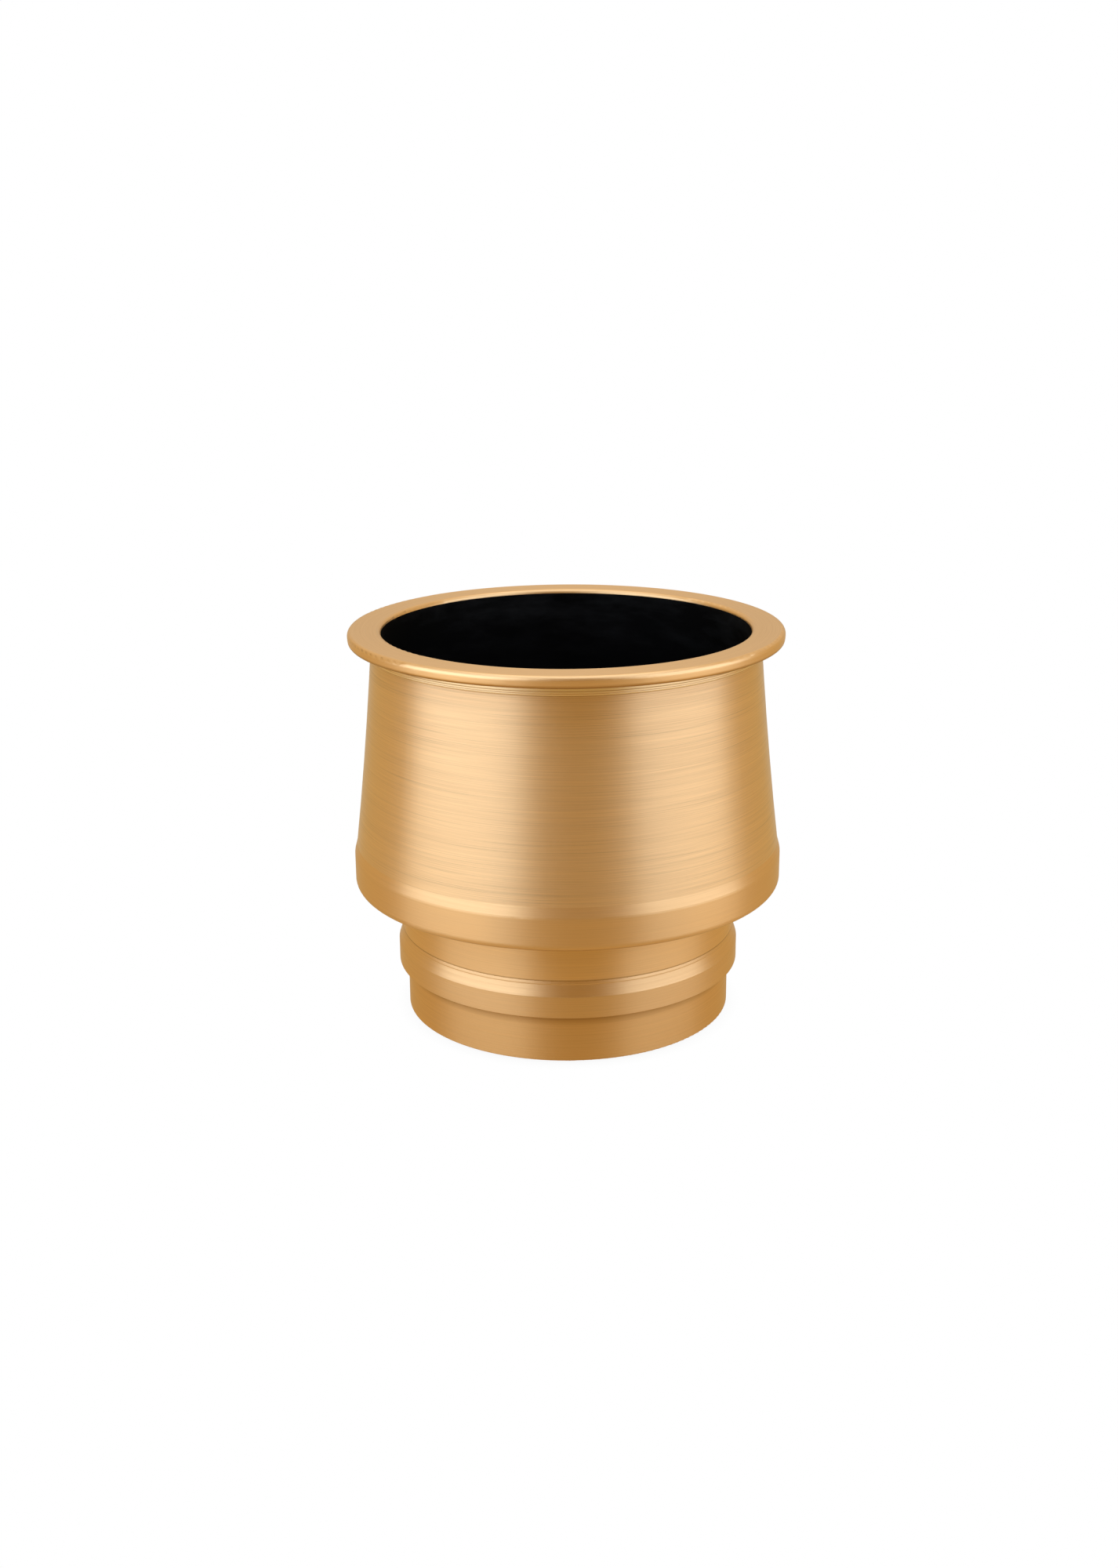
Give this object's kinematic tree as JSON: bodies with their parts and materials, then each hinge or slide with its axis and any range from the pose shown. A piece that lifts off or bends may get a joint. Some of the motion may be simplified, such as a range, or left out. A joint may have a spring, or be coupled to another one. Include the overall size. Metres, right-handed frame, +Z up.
{
  "type": "planter pot",
  "caption": "Round brushed-brass planter pot: flat rolled rim, slightly flared body with a shoulder band, narrower stepped foot, and a black watertight liner for a potted plant.",
  "frame": {"origin": "centre of the foot at floor level, under the felt pads", "axes": "+Z up along the pot's axis of revolution, from the foot to the rim; X and Y are equivalent"},
  "size_m": [0.2246, 0.2246, 0.2053],
  "materials": {
    "brass": "circumferentially brushed satin",
    "black_paint": "matte black coating",
    "steel_wire": "plain drawn wire",
    "felt": "dark pressed felt"
  },
  "bodies": {
    "root": {"rim_ring": "brass", "rim_wire": "steel_wire", "rim_collar": "brass", "body_cone": "brass", "shoulder_pan": "brass", "neck_ring": "brass", "foot_collar": "brass", "foot_ring": "brass", "base_plate": "brass", "inner_liner": "black_paint", "floor_pads": "felt"}
  },
  "joints": []
}
